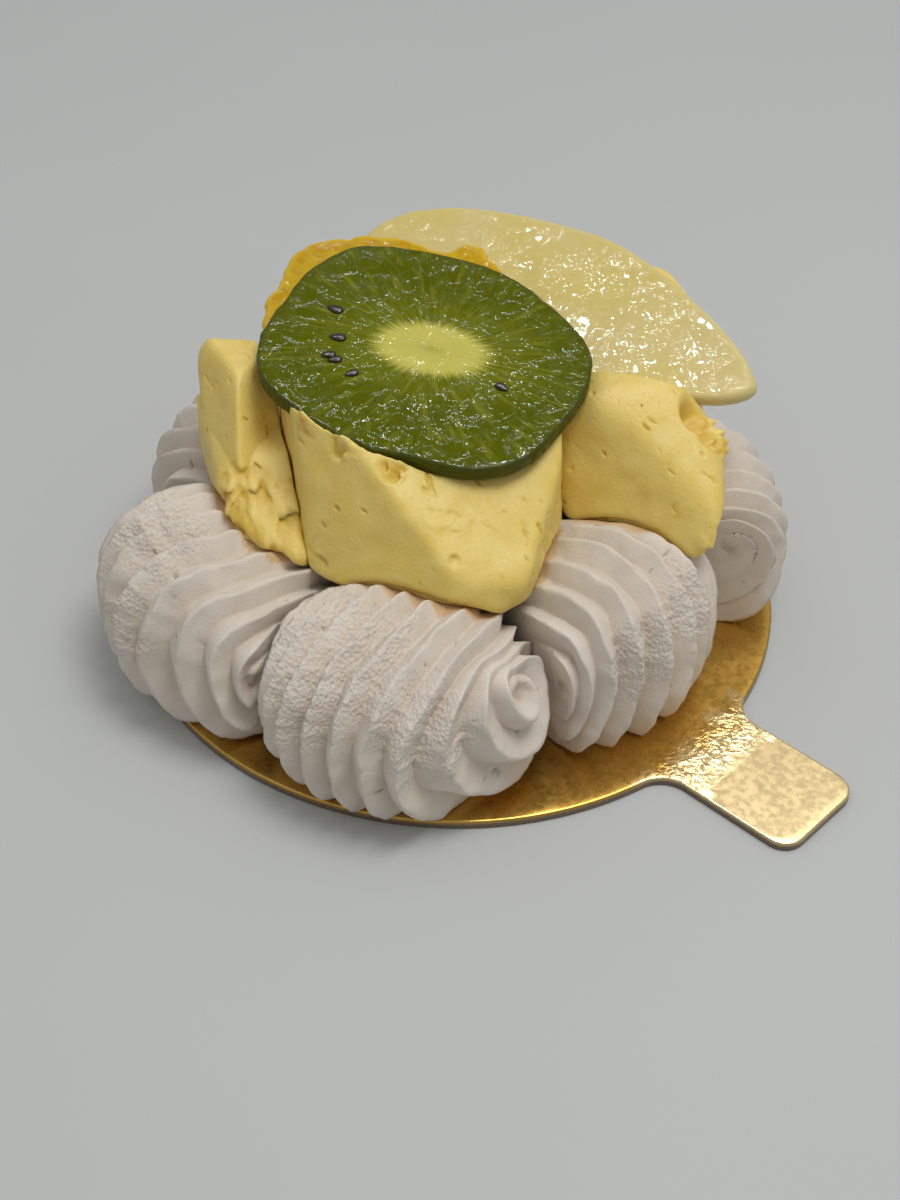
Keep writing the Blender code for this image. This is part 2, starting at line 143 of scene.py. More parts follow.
# each quenelle's centre, then its rounded blocks: azimuth, elevation and distance of their faces
CREAM = {
    "cream_front": (
        (-3.0, -13.0, 28.0),
        ((-121, 23, 10.5), (-65, 58, 7.8), (-80, 15, 14.9), (-18, 4, 15.6), (0, 90, 15.0),
         (-50, -20, 18.4), (0, -90, 7.0)),
    ),
    "cream_right": (
        (24.0, -4.0, 28.0),
        ((-121, 22, 5.6), (-88, 55, 7.6), (0, 90, 10.7), (-5, 5, 11.8), (10, 42, 11.0),
         (170, 50, 11.4), (-25, -40, 13.3), (0, -90, 7.5)),
    ),
    "cream_left": (
        (-27.0, 2.0, 29.0),
        ((-151, 25, 6.2), (-32, 32, 4.0), (-175, -10, 7.2), (-88, 41, 8.4), (0, 90, 8.8),
         (90, 0, 7.8), (-150, -35, 11.0), (0, -90, 8.0)),
        ((-88, 64, 4.1), (-150, 45, 5.0), (0, 90, 0.8), (-88, 0, 21.5), (-140, 0, 12.3),
         (-165, 0, 7.2), (90, 0, 5.0), (0, -90, 8.0)),
    ),
    "cream_back_right": (
        (21.0, 17.0, 28.0),
        ((-10, 5, 13.4), (80, 5, 9.5), (30, 10, 12.0), (0, 90, 13.0), (0, -90, 7.0)),
    ),
    "cream_back_left": (
        (-9.0, 16.0, 27.0),
        ((90, 5, 11.0), (0, 90, 12.0), (150, 20, 14.0), (0, -90, 6.0)),
    ),
}
# dents (or bumps, where the depth is below 0): place in the serving frame, radius and depth
DENTS = {
    "cream_front": ((0.0, -26.5, 29.5, 1.3, 1.1), (-2.6, -29.0, 27.0, 1.0, 0.9),
                    (-9.5, -24.0, 27.5, 0.9, 0.6), (-12.0, -22.5, 28.5, 0.8, 0.6)),
    "cream_right": ((32.5, -3.5, 36.0, 4.2, 3.4), (34.8, -6.0, 32.5, 2.6, -1.0),
                    (34.2, -5.0, 34.0, 0.9, 1.4), (35.3, -14.0, 25.0, 3.2, 2.8),
                    (25.5, 4.0, 38.5, 4.0, 0.8), (17.0, -8.0, 35.0, 6.0, -0.8)),
    "cream_left": ((-25.5, -16.5, 25.0, 1.6, 1.5), (-22.0, -15.0, 25.5, 1.3, 1.2),
                   (-28.0, -12.5, 26.5, 1.3, 1.0), (-25.0, -3.0, 30.5, 4.0, 0.7)),
}
# torn, crumbly places: place in the serving frame and radius
TORN = {
    "cream_front": ((-19.0, -10.5, 38.5, 2.2), (-14.0, -14.0, 38.0, 2.6), (-8.0, -17.5, 37.0, 2.2)),
    "cream_right": ((34.0, -4.5, 34.0, 4.2), (33.5, -15.0, 24.0, 3.2)),
    "cream_left": ((-27.5, -13.5, 26.0, 7.5), (-22.5, -15.0, 24.0, 6.0)),
}
STROKE = (0.70, -0.60, -0.39)  # direction in which the spoon drew the pits out
STROKE_SHARE = 0.6  # by which a pit is longer that way
# upright planes between two quenelles: azimuth and distance from the frame's middle
CREAM_SEAMS = (
    ("cream_left", "cream_front", 13, -22.9),
    ("cream_front", "cream_right", 10, 12.3),
    ("cream_front", "cream_back_left", 90, 3.0),
    ("cream_left", "cream_back_left", 10, -18.8),
    ("cream_back_left", "cream_back_right", 0, 8.0),
    ("cream_right", "cream_back_right", 60, 17.0),
)

# Fruit. A frame is the centre of a slab's top face, its slope along X and its slope along Y.
FRUIT_SINK = 0.1  # of a slab into the cream under it
BESIDE_STEEPNESS = 4.0  # of the cream that stands up beside a slab
KIWI_FRAME = ((-4.5, 2.0, 40.2), 0.0, 0.15)
KIWI_RADIUS = 21.3
KIWI_LOBES = ((2, 1.8, -42), (4, 0.6, 20), (6, 0.5, 0))  # waves round, height and azimuth
KIWI_FRONT = 2.2  # taken off the front of the round
KIWI_THICKNESS = 2.6
KIWI_CORE = (0.9, 1.4, -14, 7.9, 4.8)  # centre, turn in degrees, half length and half width
SEED_SIZE = (1.35, 0.8, 0.4)  # half length, half width and half thickness
SEED_FINENESS = 3  # subdivisions of a seed's ball
KIWI_SEEDS = ((-12.1, 8.7), (-11.5, 3.3), (-12.6, 0.0), (-11.7, -0.9), (-9.4, -3.4), (10.2, -5.5))
SLICE_FRAME = ((13.0, 17.6, 37.7), 0.14, 0.30)
SLICE_AZIMUTH = -32.4
SLICE_HALF_LENGTH = 31.0
SLICE_HALF_WIDTHS = (14.2, 8.6)  # on its outer and its inner side
SLICE_STRAIGHTNESS = 0.62  # of its outer side towards the tab
SLICE_THICKNESS = 2.3
MANGO_FRAME = ((-10.0, 18.0, 39.6), 0.0, 0.15)
MANGO_THICKNESS = 8.0
MANGO_OUTLINE = (
    (-17.0, -6.5), (-17.0, -2.5), (-15.3, 0.8), (-14.2, 6.3), (-11.0, 10.2), (-7.5, 11.5),
    (-1.0, 12.0), (3.0, 11.6), (5.8, 9.7), (8.7, 8.6), (11.4, 10.6), (13.6, 10.2),
    (14.4, 7.4), (16.7, 3.5), (15.0, -6.0), (6.0, -11.0), (-6.0, -12.0), (-15.0, -10.0),
)

# Light and camera, mm and degrees
SKY_LOW, SKY_TOP = 0.19, 0.60  # radiance at the horizon and overhead
SKY_SPAN = (-0.1, 0.95)  # heights on the unit sphere between which it rises
DIM_AZIMUTH, DIM_ELEVATION = 94, 54  # of the middle of the dim stretch behind
DIM_REACH = (8, 12)  # from its middle to where it begins and stops to fade
DIM_SHARE = 0.08
KEY_PLACE = (130, -60, 540)
KEY_SIZE = 220
KEY_POWER = 1.3
LAMP_ROWS = ((110, 430), (160, 410))  # Y and Z
LAMP_COUNT = 10  # in a row
LAMP_GAP = 40
LAMP_SIZE = 14
LAMP_POWER = 0.062
FLOOR_REACH = 3000
CAMERA_PLACE = (-0.616, -234.260, 210.175)
CAMERA_DOWN = 42.0495  # below the horizon
CAMERA_ROLL = 0.8594
CAMERA_LENS = 66


# ---- number tools


def unit(vectors):
    """Vectors scaled to length 1."""
    return vectors / np.linalg.norm(vectors, axis=-1, keepdims=True)


def smooth(value, low=0.0, high=1.0):
    """Soft step from 0 at low to 1 at high."""
    t = np.clip((value - low) / (high - low), 0.0, 1.0)
    return t * t * (3 - 2 * t)


def soft_limit(past, width):
    """Keeps past below 0, turning over a softness of width."""
    return -width * np.logaddexp(0.0, -past / width)


def reach_from(place, centre, radius):
    """Distance of points from a centre, in radii."""
    return np.linalg.norm(place - centre, axis=1) / radius


def spin(points, axis, degrees):
    """Points turned about an axis by one angle, or by one each."""
    a, b = {"X": (1, 2), "Y": (2, 0), "Z": (0, 1)}[axis]
    angle = np.radians(degrees)
    c, s = np.cos(angle), np.sin(angle)
    out = np.array(points, float)
    out[..., a] = c * points[..., a] - s * points[..., b]
    out[..., b] = s * points[..., a] + c * points[..., b]
    return out


def hashed(cells, seed):
    """Repeatable value from 0 to 1 for every whole-numbered cell."""
    mask = 0xFFFFFFFF
    value = cells[..., 0] * 73856093 ^ cells[..., 1] * 19349663 ^ cells[..., 2] * 83492791
    value = (value ^ (seed * 2654435761)) & mask
    value = ((value >> 15) ^ value) * 0x2C1B3C6D & mask
    value = ((value >> 12) ^ value) * 0x297A2D39 & mask
    value = (value >> 15) ^ value
    return (value & 0xFFFFFF) / 0xFFFFFF


def noise(points, size, seed):
    """Smooth noise from -1 to 1 with features of a size, on a grid that each seed turns."""
    scaled = spin(spin(points, "X", 31 + seed), "Z", 23 - seed) / size
    cell = np.floor(scaled).astype(np.int64)
    part = scaled - cell
    part = part * part * (3 - 2 * part)
    total = 0.0
    for corner in itertools.product((0, 1), repeat=3):
        weight = np.prod(np.where(corner, part, 1 - part), axis=-1)
        total = total + weight * hashed(cell + np.array(corner), seed)
    return 2 * total - 1


def grain(points, size, seed):
    """Noise of three sizes, each half the one before."""
    return sum(noise(points, size / 2**i, seed + i) / 2**i for i in range(3))


# ---- mesh tools


def to_row(points):
    """Serving millimetres to row-frame millimetres."""
    return points @ np.array(SERVING_TURN.to_3x3()).T


def add_object(name, data):
    """Object of a mesh, a light or a camera, in the scene."""
    item = bpy.data.objects.new(name, data)
    bpy.context.scene.collection.objects.link(item)
    return item


def add_piece(name, points, faces, look, matrix=None):
    """Smooth-shaded mesh object from points in mm.

    With a matrix the points are placed by it, and the piece keeps its own coordinates in the
    attribute "own" for its material.
    """
    points = np.asarray(points, float)
    placed = points
    if matrix is not None:
        placed = points @ np.array(matrix.to_3x3()).T + np.array(matrix.translation) / MM
    mesh = bpy.data.meshes.new(name)
    mesh.from_pydata((placed * MM).tolist(), [], faces)
    mesh.update()
    mesh.shade_smooth()
    mesh.materials.append(look)
    if matrix is not None:
        layer = mesh.attributes.new("own", "FLOAT_VECTOR", "POINT")
        layer.data.foreach_set("vector", points.astype(np.float32).ravel())
    return add_object(name, mesh)


def add_attribute(piece, name, values):
    """One number at each point of a piece, for its material."""
    layer = piece.data.attributes.new(name, "FLOAT", "POINT")
    layer.data.foreach_set("value", np.asarray(values, np.float32))


def hand_in(piece, slot, *nodes):
    """A finished piece rides on the cake and stands for its CAD nodes."""
    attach(piece, "root")
    if nodes:
        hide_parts(*nodes)


def slab_axes(slope_x, slope_y):
    """Unit vectors along a tilted slab's side, ahead over it, and out of its top face."""
    normal = unit(np.array((-slope_x, -slope_y, 1.0)))
    side = unit(np.array((1.0, 0.0, slope_x)))
    return side, np.cross(normal, side), normal


def slab_matrix(spec):
    """Row-frame placement of a tilted slab whose origin is the centre of its top face."""
    centre, *slopes = spec
    turn = Matrix(slab_axes(*slopes)).transposed().to_4x4()
    return SERVING_TURN @ Matrix.Translation(Vector(centre) * MM) @ turn


def rings_mesh(rows):
    """Faces that join rows of equal length from a top point to a bottom point, and all points."""
    count = len(rows[1])
    points = np.concatenate([np.reshape(row, (-1, 3)) for row in rows])
    sides = [(i, (i + 1) % count) for i in range(count)]
    faces = [(0, 1 + i, 1 + j) for i, j in sides]
    for ring in range(len(rows) - 3):
        low = 1 + ring * count
        high = low + count
        faces += [(low + i, high + i, high + j, low + j) for i, j in sides]
    last = len(points) - 1
    low = last - count
    faces += [(last, low + j, low + i) for i, j in sides]
    return points, faces


def outline_rows(outline, edge, top_rows):
    """Rows of a slab: its top from the middle out, its edge, and its underside.

    The edge is a row of pairs: how far it lies in from the outline, and its height.
    """
    reach = np.linalg.norm(outline, axis=1, keepdims=True)
    under_rows = 3

    def row(share, inset, height):
        level = np.full(len(outline), height)
        return np.column_stack((outline * share * (1 - inset / reach), level))

    first, last = edge[0], edge[-1]
    rows = [np.zeros(3)]
    rows += [row(i / top_rows, first[0], first[1]) for i in range(1, top_rows)]
    rows += [row(1.0, inset, height) for inset, height in edge]
    rows += [row(1 - i / under_rows, last[0], last[1]) for i in range(1, under_rows)]
    rows.append(np.array((0.0, 0.0, last[1])))
    return rows


# ---- materials


class Wiring:
    """A node tree being wired. Every method but put, fill and add gives an output to pass on."""

    def __init__(self, tree):
        self.tree = tree

    def put(self, socket, value):
        """Links an output to a socket, or sets the socket's own value."""
        if isinstance(value, bpy.types.NodeSocket):
            self.tree.links.new(value, socket)
        elif socket.type == "RGBA":
            socket.default_value = (*value, 1.0)
        else:
            socket.default_value = value

    def fill(self, node, **inputs):
        """Inputs of a node, named with underscores for spaces."""
        for name, value in inputs.items():
            self.put(node.inputs[name.replace("_", " ")], value)

    def add(self, kind, *values, **settings):
        """New node with its settings, and with values for its first inputs."""
        node = self.tree.nodes.new("ShaderNode" + kind)
        for name, setting in settings.items():
            setattr(node, name, setting)
        for socket, value in zip(node.inputs, values):
            self.put(socket, value)
        return node

    def vector(self, operation, *values):
        """Result of a sum with vectors."""
        node = self.add("VectorMath", *values, operation=operation)
        return node.outputs["Value" if operation in ("LENGTH", "DOT_PRODUCT") else "Vector"]

    def scaled(self, vector, scale):
        """A vector made longer or shorter."""
        node = self.add("VectorMath", vector, operation="SCALE")
        self.fill(node, Scale=scale)
        return node.outputs["Vector"]

    def maths(self, operation, first, second):
        """Result of a sum with two numbers."""
        return self.add("Math", first, second, operation=operation).outputs[0]

    def step(self, value, low, high, start=0.0, stop=1.0):
        """Soft step of a value from start at low to stop at high."""
        node = self.add("MapRange", interpolation_type="SMOOTHSTEP")
        self.fill(node, Value=value, From_Min=low, From_Max=high, To_Min=start, To_Max=stop)
        return node.outputs["Result"]


class Look(Wiring):
    """A material being wired. Its textures take sizes in mm."""

    def __init__(self, name, own=False):
        self.material = bpy.data.materials.new(name)
        self.material.use_nodes = True
        super().__init__(self.material.node_tree)
        self.shader = self.tree.nodes["Principled BSDF"]
        if own:  # the piece's own coordinates
            self.place = self.add("Attribute", attribute_name="own").outputs["Vector"]
        else:  # the row frame
            self.place = self.scaled(self.add("TexCoord").outputs["Object"], 1 / MM)

    def set(self, **inputs):
        """Inputs of the shader."""
        self.fill(self.shader, **inputs)

    def noise(self, size, detail=2.0, place=None, distortion=0.0):
        """Noise from 0 to 1 with features of a size."""
        node = self.add("TexNoise")
        place = self.place if place is None else place
        self.fill(node, Vector=place, Scale=1.0 / size, Detail=detail, Distortion=distortion)
        return node.outputs["Fac"]

    def cells(self, size):
        """Distance to scattered points about a size apart, in that size."""
        node = self.add("TexVoronoi")
        self.fill(node, Vector=self.place, Scale=1.0 / size)
        return node.outputs["Distance"]

    def mix(self, share, first, second):
        """Colour between first and second."""
        node = self.add("Mix", share, data_type="RGBA")
        self.put(node.inputs[6], first)  # 6 and 7 are its colours A and B
        self.put(node.inputs[7], second)
        return node.outputs[2]

    def attribute(self, name):
        """A piece's attribute, one number at each point."""
        return self.add("Attribute", attribute_name=name).outputs["Fac"]

    def part(self, name, share):
        """A piece's attribute times a share."""
        return self.maths("MULTIPLY", self.attribute(name), share)

    def soften(self, weight, reach):
        """Lets light scatter under the skin, to a reach in mm for red, green and blue."""
        self.set(Subsurface_Weight=weight, Subsurface_Scale=MM, Subsurface_Radius=reach)

    def bump(self, height, depth, normal=None):
        """Normal of a surface raised by height (0 to 1) times depth in mm."""
        node = self.add("Bump")
        self.fill(node, Distance=depth * MM, Height=height)
        if normal is not None:
            self.fill(node, Normal=normal)
        return node.outputs["Normal"]


def meringue_look():
    """Matt baked meringue: powdery, with sugar crackle where the piece says so, painted shade in its
    ridge valleys, holes and pole hollows, and a darker orange-brown tone next to the cream.
    """
    look = Look("baked_meringue")
    patch = look.noise(5.0, 3.0)
    colour = look.mix(look.step(patch, 0.35, 0.65), (0.69, 0.625, 0.55), (0.73, 0.67, 0.595))
    # painted shade: the meringue darker in its ridge valleys
    colour = look.mix(look.part("valley_shade", 0.45), colour, (0.66, 0.56, 0.46))
    # painted shade: the meringue much darker in its holes and pole hollows
    colour = look.mix(look.part("hole_shade", 0.8), colour, (0.30, 0.23, 0.16))
    # darker orange-brown tone where the meringue meets the cream
    colour = look.mix(look.part("near_cream_tint", 0.7), colour, (0.60, 0.36, 0.10))
    fine = look.noise(0.28, 4.0)
    crackle = look.step(look.attribute("crackle"), 0.0, 1.0, 0.08, 1.0)
    lumps = look.maths("MULTIPLY", look.cells(0.55), crackle)
    normal = look.bump(fine, 0.10)
    normal = look.bump(lumps, 0.22, normal)
    look.set(Base_Color=colour, Roughness=look.step(fine, 0.3, 0.7, 0.72, 0.9), Normal=normal)
    look.set(Specular_IOR_Level=0.35)
    look.soften(0.15, (1.3, 1.0, 0.7))
    return look.material


def cream_look():
    """Satin mango cream: fine pits, and painted shade, a deeper orange, in its hollows."""
    look = Look("mango_cream")
    patch = look.noise(4.0, 3.0)
    colour = look.mix(look.step(patch, 0.35, 0.65), (0.78, 0.585, 0.145), (0.81, 0.63, 0.185))
    # painted shade: deeper orange in the cream's pits, torn hollows and dents
    colour = look.mix(look.part("hollow_shade", 0.7), colour, (0.66, 0.42, 0.03))
    fine = look.noise(0.5, 3.0)
    pores = look.step(look.cells(0.9), 0.0, 0.22)
    normal = look.bump(fine, 0.07)
    normal = look.bump(pores, 0.06, normal)
    look.set(Base_Color=colour, Roughness=look.step(fine, 0.3, 0.7, 0.42, 0.6), Normal=normal)
    look.set(Specular_IOR_Level=0.4)
    look.soften(0.25, (1.8, 1.1, 0.4))
    return look.material


def glaze(look, weight, size, depth, fine_depth):
    """Gives a look a clear glaze, in small flat pools with wavy edges and fine ripples."""
    pools = look.step(look.noise(size, 2.0, distortion=1.2), 0.42, 0.58)
    normal = look.bump(look.noise(1.3, 1.0), fine_depth, look.bump(pools, depth))
    look.set(Coat_Weight=weight, Coat_Roughness=0.05, Coat_Normal=normal, Specular_IOR_Level=0.0)


def kiwi_rays(look):
    """Distance from the kiwi's core in core lengths, and a place that varies little along a ray."""
    x, y, turn, length, width = KIWI_CORE
    out = look.vector("SUBTRACT", look.place, (x, y, 0.0))
    out = look.vector("MULTIPLY", out, (1.0, 1.0, 0.0))
    rotate = look.add("VectorRotate", rotation_type="Z_AXIS")
    look.fill(rotate, Vector=out, Angle=math.radians(-turn))
    stretched = look.vector("MULTIPLY", rotate.outputs[0], (1 / length, 1 / width, 0.0))
    reach = look.vector("LENGTH", stretched)
    circle = look.scaled(look.vector("NORMALIZE", stretched), 12.0)
    depth = look.add("CombineXYZ")
    look.fill(depth, Z=look.maths("MULTIPLY", reach, 0.7))
    return reach, look.vector("ADD", circle, depth.outputs[0])


def kiwi_look():
    """Kiwi cut across: pale streaky core, fine rays, darker rim, under a wet glaze."""
    look = Look("kiwi_flesh", own=True)
    reach, ray_place = kiwi_rays(look)
    rays = look.noise(0.62, 3.0, place=ray_place)
    fine_rays = look.noise(0.3, 2.0, place=ray_place)
    streaky = look.maths("ADD", reach, look.maths("MULTIPLY", rays, -0.55))
    core = look.step(streaky, 0.48, 0.90, 1.0, 0.0)
    flesh = look.mix(look.step(reach, 1.0, 2.6), (0.15, 0.172, 0.006), (0.098, 0.116, 0.003))
    flesh = look.mix(look.step(rays, 0.50, 0.72, 0.0, 0.55), flesh, (0.25, 0.26, 0.025))
    flesh = look.mix(look.step(fine_rays, 0.35, 0.55, 0.4, 0.0), flesh, (0.075, 0.088, 0.003))
    flesh = look.mix(look.part("rim", 0.75), flesh, (0.045, 0.052, 0.003))
    colour = look.mix(core, flesh, (0.58, 0.53, 0.115))
    look.set(Base_Color=colour, Roughness=0.5, Normal=look.bump(rays, 0.12))
    glaze(look, 0.45, 2.6, 0.09, 0.10)
    look.soften(0.25, (1.0, 1.6, 0.3))
    return look.material


def slice_look():
    """Milky pale fruit under a thin glaze."""
    look = Look("pale_fruit", own=True)
    patch = look.noise(16.0, 1.0)
    colour = look.mix(look.step(patch, 0.3, 0.7), (0.63, 0.52, 0.165), (0.64, 0.54, 0.235))
    colour = look.mix(look.part("rim", 0.5), colour, (0.60, 0.53, 0.30))
    look.set(Base_Color=colour, Roughness=0.38, Normal=look.bump(look.noise(0.8, 2.0), 0.05))
    glaze(look, 0.4, 3.4, 0.08, 0.03)
    look.soften(0.45, (3.0, 2.4, 1.0))
    return look.material


def mango_look():
    """Translucent orange-yellow mango, lighter at its torn edge."""
    look = Look("mango_flesh", own=True)
    fibre = look.noise(1.6, 3.0)
    colour = look.mix(look.step(fibre, 0.3, 0.7), (0.52, 0.29, 0.006), (0.60, 0.40, 0.012))
    colour = look.mix(look.part("rim", 0.7), colour, (0.66, 0.44, 0.045))
    look.set(Base_Color=colour, Roughness=0.32, Normal=look.bump(fibre, 0.2))
    glaze(look, 0.4, 3.0, 0.15, 0.06)
    look.soften(0.5, (3.5, 1.8, 0.4))
    return look.material


def seed_look():
    """Dark wet kiwi seeds."""
    look = Look("kiwi_seed")
    colour = look.mix(look.noise(0.5), (0.008, 0.006, 0.003), (0.03, 0.018, 0.008))
    look.set(Base_Color=colour, Roughness=0.35, Specular_IOR_Level=0.3, Coat_Weight=0.35)
    return look.material


def card_look():
    """Gold foil on board: brown cut edge, fine rolled texture, creases at the tab's root, and a
    painted reflection that makes the tab paler.
    """
    look = Look("gold_foil")
    cut_edge = look.attribute("cut_edge")
    mottled = look.noise(9.0, 3.0)
    gold = look.mix(look.step(mottled, 0.3, 0.7), (0.62, 0.37, 0.08), (0.67, 0.41, 0.10))
    # painted reflection: the foil paler towards the tab
    gold = look.mix(look.attribute("wear_and_sheen"), gold, (0.87, 0.68, 0.36))
    colour = look.mix(cut_edge, gold, (0.16, 0.11, 0.065))
    orange_peel = look.noise(0.9, 3.0)
    folds = look.maths("MULTIPLY", look.noise(1.6, 3.0, distortion=1.5), look.attribute("crease"))
    normal = look.bump(folds, 0.35, look.bump(orange_peel, 0.004))
    look.set(Base_Color=colour, Metallic=look.step(cut_edge, 0.2, 0.8, 1.0, 0.0), Normal=normal)
    look.set(Roughness=look.step(orange_peel, 0.3, 0.7, 0.24, 0.32))
    return look.material


def floor_look():
    """Plain pale floor, a little uneven in tone."""
    look = Look("pale_floor")
    look.set(Base_Color=look.mix(look.noise(60.0), (0.51, 0.53, 0.535), (0.53, 0.55, 0.555)))
    look.set(Roughness=0.9)
    return look.material


# ---- petals


def front_share(spec, v):
    """Share of a petal's outward reach at v, its place from the left end (-1) to the right (1)."""
    side = 1 if spec.narrowing > 0 else -1
    return 1 - abs(spec.narrowing) * smooth(side * v, NARROW_FROM, 1.0)


def petal_body(spec, direction):
    """Points of a petal's smooth body in its own frame: +X outward, +Z up, hub at the origin."""
    swell = (np.abs(direction) ** PETAL_FULLNESS).sum(-1) ** (-1.0 / PETAL_FULLNESS)
    u, v, w = (direction * swell[..., None]).T
    x = u * np.where(u > 0, spec.reach * front_share(spec, v), spec.tail)
    y = v * np.where(v > 0, spec.right, spec.left)
    z = w * np.where(w > 0, spec.top - HUB_HEIGHT, HUB_HEIGHT + BELOW_BASE)
    fade = smooth(-x / spec.tail)
    return np.column_stack((x, y * (1 - (1 - TAIL_WIDTH) * fade), z * (1 - TAIL_DROP * fade)))


def petal_height(point):
    """Height of the petals' smooth tops over serving points (x, y)."""
    height = np.full(len(point), PETAL_BASE)
    for spec in PETALS.values():
        own = np.column_stack((point[:, :2] - RING_CENTRE[:2], np.zeros(len(point))))
        own = spin(spin(own, "Z", -spec.azimuth) - (spec.hub, 0, 0), "Z", -spec.yaw)
        x, y = own[:, 0], own[:, 1]
        fade = smooth(-x / spec.tail)
        v = y / (np.where(y > 0, spec.right, spec.left) * (1 - (1 - TAIL_WIDTH) * fade))
        u = x / np.where(x > 0, spec.reach * front_share(spec, v), spec.tail)
        room = 1 - np.abs(u) ** PETAL_FULLNESS - np.abs(v) ** PETAL_FULLNESS
        w = np.maximum(room, 0.0) ** (1 / PETAL_FULLNESS)
        rise = w * (spec.top - HUB_HEIGHT) * (1 - TAIL_DROP * fade)
        height = np.where(room > 0, np.maximum(height, PETAL_BASE + HUB_HEIGHT + rise), height)
    return height


def ridge_direction(spec, bends, along, turn):
    """Direction at along (0 to 1, pole to pole) and turn (radians) of the ridges' roll axis."""
    latitude = np.pi * (along - 0.5)
    ring = np.cos(latitude)
    flat = np.column_stack((ring * np.cos(turn), np.sin(latitude), ring * np.sin(turn)))
    left_bend, right_bend, start = bends
    left = smooth(along, 0.5 - 0.5 * start, 0.0)
    right = smooth(along, 0.5 + 0.5 * start, 1.0)
    yaw = spec.ridge_yaw + left_bend[0] * left + right_bend[0] * right
    roll = spec.ridge_roll + left_bend[1] * left + right_bend[1] * right
    return spin(spin(flat, "X", roll), "Z", yaw)


def petal_surface(spec, bends, along, turn):
    """Points of the body at the ridge coordinates, outward normals and stretch along them."""

    def body(further, on):
        return petal_body(spec, ridge_direction(spec, bends, along + further, turn + on))

    here = body(0.0, 0.0)
    ahead = body(PROBE, 0.0) - body(-PROBE, 0.0)
    across = body(0.0, PROBE) - body(0.0, -PROBE)
    normal = unit(np.cross(ahead, across) + TINY)
    normal *= np.where((normal * here).sum(-1, keepdims=True) < 0, -1.0, 1.0)
    stretch = np.linalg.norm(np.cross(ahead, unit(across + TINY)), axis=-1)
    return here, normal, stretch / (2 * PROBE)


def place_petal(spec, point):
    """Moves points of the petal's own frame to its place in the ring."""
    point = spin(point, "Z", spec.yaw) + (spec.hub, 0, 0)
    return spin(point, "Z", spec.azimuth) + RING_CENTRE + (0, 0, PETAL_BASE + HUB_HEIGHT)


def plane_gap(point, azimuth, offset=0.0):
    """Direction across an upright plane of the ring, and how far points lie past it that way."""
    angle = math.radians(azimuth)
    across = np.array((-math.sin(angle), math.cos(angle), 0.0))
    return across, (point - RING_CENTRE) @ across - offset


def press(name, point):
    """Softly flattens what lies past a seam with a neighbour or under the card's face."""
    swell = plane_gap(point, *SWELL)[1]
    for azimuth, side in zip(SEAMS[name], (-1, 1)):
        across, past = plane_gap(point, azimuth)
        past = side * past
        if name == "meringue_left" and side > 0:
            past = np.minimum(past, swell + SWELL_OVERLAP)
        if name == "meringue_front" and side < 0:
            past = np.maximum(past, -swell)
        point = point + side * across * (soft_limit(past, SEAM_SOFTNESS) - past)[:, None]
    floor = CARD_THICKNESS + CARD_GAP
    point[:, 2] = floor - soft_limit(floor - point[:, 2], FOOT_SOFTNESS)
    return point


def ridge_profile(phase):
    """Height from 1 on the crest (phase 0) to -1 in the rounded trough (phase 0.5)."""
    flank = 1 - 4 * np.minimum(phase, 1 - phase)
    return (1 - RIDGE_ROUNDNESS) * flank + RIDGE_ROUNDNESS * (1 - 2 * np.sin(np.pi * phase))


def strip_faces(count, steps, across):
    """Quads of a strip that winds from pole to pole."""
    grid = np.arange(count * across).reshape(count, across)
    quads = [
        np.stack((grid[:-1, j], grid[1:, j], grid[1:, j + 1], grid[:-1, j + 1]), -1)
        for j in range(across - 1)
    ]
    low, high = grid[: count - steps, -1], grid[steps:, 0]  # where one turn meets the next
    quads.append(np.stack((low[:-1], low[1:], high[1:], high[:-1]), -1))
    return np.concatenate(quads).tolist()


def close_poles(piece):
    """Joins the points that lie together at a petal's two poles."""
    grid = bmesh.new()
    grid.from_mesh(piece.data)
    bmesh.ops.remove_doubles(grid, verts=grid.verts, dist=POLE_JOIN * MM)
    grid.to_mesh(piece.data)
    grid.free()


def cream_gap(points):
    """Distance of serving points from the nearest quenelle, below 0 inside it."""
    gaps = []
    for name, (centre, *blocks) in CREAM.items():
        away = points - np.array(centre)
        distance = np.linalg.norm(away, axis=1)
        seams = seam_faces(name, centre)
        blocks = [(*faces, *seams) for faces in blocks]
        gaps.append(distance - cream_radius(name, blocks, away / distance[:, None]))
    return np.minimum.reduce(gaps)


def crackle_share(name, place, body, seed):
    """How far each point lies in a patch of sugar crackle, 0 to 1."""
    share = 0.5 * smooth(noise(body, 9.0, seed), 0.2, 0.9)
    for *centre, radius in CRACKLE.get(name, ()):
        reach = reach_from(place, centre, radius)
        share = np.maximum(share, smooth(reach + 0.35 * noise(body, 3.0, seed + 1), 1.2, 0.5))
    return share


def ridge_strip(spec, looseness, steps, across):
    """Turn, phase and place along the roll axis of every point of the winding strip."""
    last = spec.ridges * steps + steps // across + 2
    k = np.repeat(np.arange(-steps, last), across)
    phase = np.tile(np.arange(across) / across, last + steps)
    along = (k / steps + phase) / spec.ridges
    along = along + looseness * along * (along - 1)
    return -2 * np.pi * k / steps, phase, np.clip(along, POLE_START, 1 - POLE_START)


def ridge_depth(spec, place, body, stretch, height, seed):
    """Depth of the ridge at every point, before it fades out at the poles."""
    wear_and_sheen = 1 - 0.25 * np.maximum(0.0, noise(body, 1.6, seed + 2)) * smooth(height, 0.3, 1.0)
    depth = RIDGE_DEPTH * (1 + 0.22 * noise(body, 8.0, seed + 3)) * wear_and_sheen
    depth *= smooth(cream_gap(place), PRESSED, FREE)
    return depth * smooth(stretch / spec.ridges, CROWDED, ROOMY)


